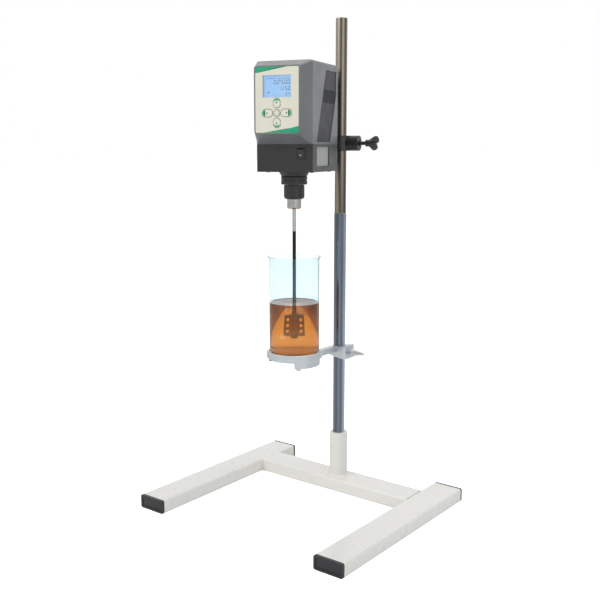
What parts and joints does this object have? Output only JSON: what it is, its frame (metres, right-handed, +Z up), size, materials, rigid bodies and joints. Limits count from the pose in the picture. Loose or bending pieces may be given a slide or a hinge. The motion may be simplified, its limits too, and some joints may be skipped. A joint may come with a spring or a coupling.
{
  "type": "overhead stirrer",
  "caption": "Overhead stirrer: motor head with keys and display on a rod over an H stand, chuck with paddle, and a ring that carries a glass beaker.",
  "frame": {"origin": "on the floor, under the middle of the cross tube, on the axis of the rod", "axes": "+Z up along the rod, -Y towards the operator along the legs, +X to the operator's right"},
  "size_m": [0.368, 0.314, 0.715],
  "materials": {
    "stand_enamel": "smooth warm white enamel",
    "cap_plastic": "moulded end plug",
    "lower_rod_steel": "polished chrome",
    "upper_rod_steel": "ground stainless steel",
    "plain_steel": "turned steel",
    "screw_steel": "bright zinc",
    "support_metal": "cast and tumbled",
    "pad_rubber": "soft rubber",
    "clamp_enamel": "black enamel",
    "knob_plastic": "black moulding",
    "beaker_glass": "clear borosilicate glass",
    "cover_plastic": "mid grey satin moulding",
    "vent_plastic": "dark grey moulding",
    "case_plastic": "black moulding",
    "frame_plastic": "light grey moulding",
    "fascia_plastic": "printed foil on plastic",
    "window_plastic": "clear window",
    "display_blue": "light blue display",
    "board_laminate": "green laminate",
    "key_green": "green moulded key",
    "key_grey": "pale moulded key",
    "inlet_plastic": "black moulding",
    "panel_metal": "grey sheet",
    "arm_steel": "ground stainless steel",
    "plate_metal": "milled plate",
    "motor_metal": "motor housing",
    "gear_steel": "hobbed steel",
    "chuck_metal": "black oxide steel",
    "nose_steel": "bright turned steel",
    "ring_finish": "black ring"
  },
  "bodies": {
    "base": {"left_leg_tube": "stand_enamel", "right_leg_tube": "stand_enamel", "cross_tube": "stand_enamel", "front_left_cap": "cap_plastic", "front_right_cap": "cap_plastic", "back_left_cap": "cap_plastic", "back_right_cap": "cap_plastic", "post_socket": "stand_enamel", "socket_set_screw": "plain_steel"},
    "rod": {"lower_rod": "lower_rod_steel", "upper_rod": "upper_rod_steel", "joining_stud": "plain_steel"},
    "ring_support": {"ring_arm": "support_metal", "support_ring": "support_metal", "ring_screws": "screw_steel", "ring_pad": "pad_rubber", "beaker": "beaker_glass"},
    "ring_thumb_screw": {"ring_thumb_screw": "knob_plastic"},
    "boss_head": {"boss_head": "clamp_enamel"},
    "rod_clamp_screw": {"rod_clamp_screw": "knob_plastic"},
    "arm_clamp_screw": {"arm_clamp_screw": "knob_plastic"},
    "head": {"mounting_arm": "arm_steel", "arm_flange": "clamp_enamel", "flange_screws": "screw_steel", "rear_panel": "panel_metal", "power_inlet": "inlet_plastic", "upper_cover": "cover_plastic", "left_vent_panel": "vent_plastic", "right_vent_panel": "vent_plastic", "front_bezel": "cover_plastic", "keypad_panel": "fascia_plastic", "display_window": "window_plastic", "display_module": "display_blue", "control_board": "board_laminate", "lower_case": "case_plastic", "left_side_frame": "frame_plastic", "right_side_frame": "frame_plastic", "bearing_cap": "ring_finish", "lower_bearing": "plain_steel", "upper_bearing": "plain_steel", "motor_plate": "plate_metal", "motor_can": "motor_metal", "rocker_frame": "inlet_plastic"},
    "motor_rotor": {"rotor": "gear_steel", "pinion": "gear_steel"},
    "spindle": {"spindle": "plain_steel", "output_gear": "gear_steel", "chuck_body": "nose_steel", "stirring_shaft": "plain_steel", "paddle": "plain_steel"},
    "chuck_sleeve": {"chuck_sleeve": "chuck_metal"},
    "rocker": {"rocker": "inlet_plastic"},
    "key_up": {"key_up": "key_green"},
    "key_down": {"key_down": "key_green"},
    "key_left": {"key_left": "key_green"},
    "key_right": {"key_right": "key_green"},
    "key_centre": {"key_centre": "key_grey"},
    "chuck_jaw_1": {"chuck_jaw_1": "gear_steel"},
    "chuck_jaw_2": {"chuck_jaw_2": "gear_steel"},
    "chuck_jaw_3": {"chuck_jaw_3": "gear_steel"}
  },
  "joints": [
    {"name": "rod_turn", "type": "hinge", "parent": "base", "child": "rod", "pos_m": [0, 0, 0.09], "axis": [0, 0, 1], "range_deg": [-60, 60]},
    {"name": "ring_height", "type": "slide", "parent": "rod", "child": "ring_support", "axis": [0, 0, 1], "range_m": [-0.11, 0.006]},
    {"name": "ring_thumb_screw_turn", "type": "hinge", "parent": "ring_support", "child": "ring_thumb_screw", "pos_m": [0.03, 0, 0.22095], "axis": [1, 0, 0], "range_deg": [0, 360]},
    {"name": "head_height", "type": "slide", "parent": "rod", "child": "boss_head", "axis": [0, 0, 1], "range_m": [-0.006, 0.15]},
    {"name": "rod_clamp_screw_turn", "type": "hinge", "parent": "boss_head", "child": "rod_clamp_screw", "pos_m": [0.0289, 0.00804, 0.536], "axis": [0.9635, 0.2679, 0], "range_deg": [0, 360]},
    {"name": "arm_clamp_screw_turn", "type": "hinge", "parent": "boss_head", "child": "arm_clamp_screw", "pos_m": [-0.05781, -0.01607, 0.536], "axis": [-0.9635, -0.2679, 0], "range_deg": [0, 360]},
    {"name": "head_reach", "type": "slide", "parent": "boss_head", "child": "head", "axis": [-0.2679, 0.9635, 0], "range_m": [-0.012, 0.012]},
    {"name": "power_switch", "type": "hinge", "parent": "head", "child": "rocker", "pos_m": [0.03095, -0.13557, 0.522], "axis": [0.9635, 0.2679, 0], "range_deg": [-18, 0]},
    {"name": "motor_turn", "type": "hinge", "parent": "head", "child": "motor_rotor", "pos_m": [-0.0075, -0.08502, 0.53], "axis": [0, 0, 1], "continuous": true},
    {"name": "spindle_turn", "type": "hinge", "parent": "head", "child": "spindle", "pos_m": [0, -0.112, 0.5], "axis": [0, 0, 1], "continuous": true},
    {"name": "sleeve_turn", "type": "hinge", "parent": "spindle", "child": "chuck_sleeve", "pos_m": [0, -0.112, 0.468], "axis": [0, 0, -1], "range_deg": [0, 540]},
    {"name": "key_up_press", "type": "slide", "parent": "head", "child": "key_up", "axis": [-0.2679, 0.9635, 0], "range_m": [0, 0.0008], "stiffness_N_per_m": 400},
    {"name": "key_down_press", "type": "slide", "parent": "head", "child": "key_down", "axis": [-0.2679, 0.9635, 0], "range_m": [0, 0.0008], "stiffness_N_per_m": 400},
    {"name": "key_left_press", "type": "slide", "parent": "head", "child": "key_left", "axis": [-0.2679, 0.9635, 0], "range_m": [0, 0.0008], "stiffness_N_per_m": 400},
    {"name": "key_right_press", "type": "slide", "parent": "head", "child": "key_right", "axis": [-0.2679, 0.9635, 0], "range_m": [0, 0.0008], "stiffness_N_per_m": 400},
    {"name": "key_centre_press", "type": "slide", "parent": "head", "child": "key_centre", "axis": [-0.2679, 0.9635, 0], "range_m": [0, 0.0008], "stiffness_N_per_m": 400},
    {"name": "jaw_1_slide", "type": "slide", "parent": "spindle", "child": "chuck_jaw_1", "axis": [-0.0828, 0.2977, 0.9511], "range_m": [0, 0.003]},
    {"name": "jaw_2_slide", "type": "slide", "parent": "spindle", "child": "chuck_jaw_2", "axis": [-0.2165, -0.2205, 0.9511], "range_m": [0, 0.003]},
    {"name": "jaw_3_slide", "type": "slide", "parent": "spindle", "child": "chuck_jaw_3", "axis": [0.2992, -0.0772, 0.9511], "range_m": [0, 0.003]}
  ],
  "couplings": [
    {"joint": "motor_turn", "follows": "spindle_turn", "ratio": -3},
    {"joint": "jaw_1_slide", "follows": "sleeve_turn", "m_per_rad": 0.0003183},
    {"joint": "jaw_2_slide", "follows": "sleeve_turn", "m_per_rad": 0.0003183},
    {"joint": "jaw_3_slide", "follows": "sleeve_turn", "m_per_rad": 0.0003183}
  ]
}
